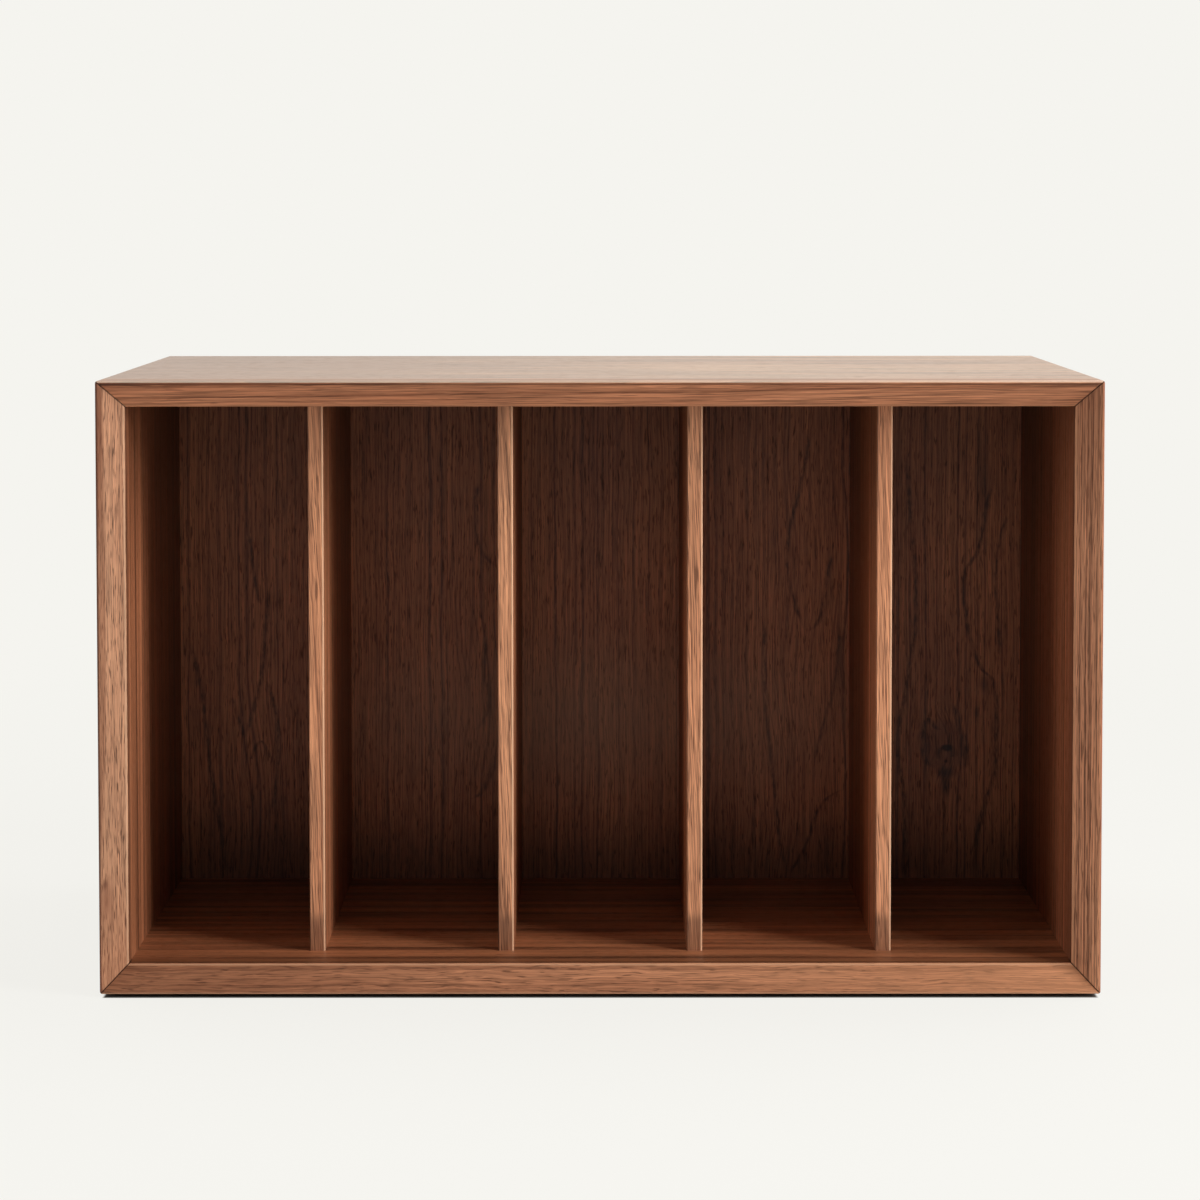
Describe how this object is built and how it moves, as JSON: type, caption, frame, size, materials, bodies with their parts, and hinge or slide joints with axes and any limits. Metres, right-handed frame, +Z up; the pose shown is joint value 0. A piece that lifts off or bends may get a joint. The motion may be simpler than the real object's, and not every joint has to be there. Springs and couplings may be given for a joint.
{
  "type": "record storage shelf",
  "caption": "Low open walnut case with mitred, inward-bevelled front edges and upright dividers that make bays for 12-inch records.",
  "frame": {"origin": "middle of the footprint, on the surface that the glides stand on", "axes": "+X along the width, the open front faces -Y, +Z up"},
  "size_m": [0.6, 0.4, 0.37],
  "materials": {
    "walnut_veneer": "satin lacquer",
    "walnut_lipping": "satin lacquer",
    "walnut_back": "satin lacquer",
    "beech_dowel": "plain",
    "birch_spline": "plain",
    "zinc_screw": "zinc plated",
    "nylon_glide": "moulded",
    "steel_nail": "bright"
  },
  "bodies": {
    "root": {"top_panel": "walnut_veneer", "bottom_panel": "walnut_veneer", "left_side_panel": "walnut_veneer", "right_side_panel": "walnut_veneer", "divider_1": "walnut_veneer", "divider_2": "walnut_veneer", "divider_3": "walnut_veneer", "divider_4": "walnut_veneer", "top_lipping": "walnut_lipping", "bottom_lipping": "walnut_lipping", "left_lipping": "walnut_lipping", "right_lipping": "walnut_lipping", "divider_1_lipping": "walnut_lipping", "divider_2_lipping": "walnut_lipping", "divider_3_lipping": "walnut_lipping", "divider_4_lipping": "walnut_lipping", "back_panel": "walnut_back", "divider_1_dowels": "beech_dowel", "divider_2_dowels": "beech_dowel", "divider_3_dowels": "beech_dowel", "divider_4_dowels": "beech_dowel", "top_left_spline": "birch_spline", "top_right_spline": "birch_spline", "bottom_left_spline": "birch_spline", "bottom_right_spline": "birch_spline", "back_panel_screws": "zinc_screw", "glide_front_left": "nylon_glide", "glide_front_middle": "nylon_glide", "glide_front_right": "nylon_glide", "glide_rear_left": "nylon_glide", "glide_rear_middle": "nylon_glide", "glide_rear_right": "nylon_glide", "glide_nails": "steel_nail"}
  },
  "joints": []
}
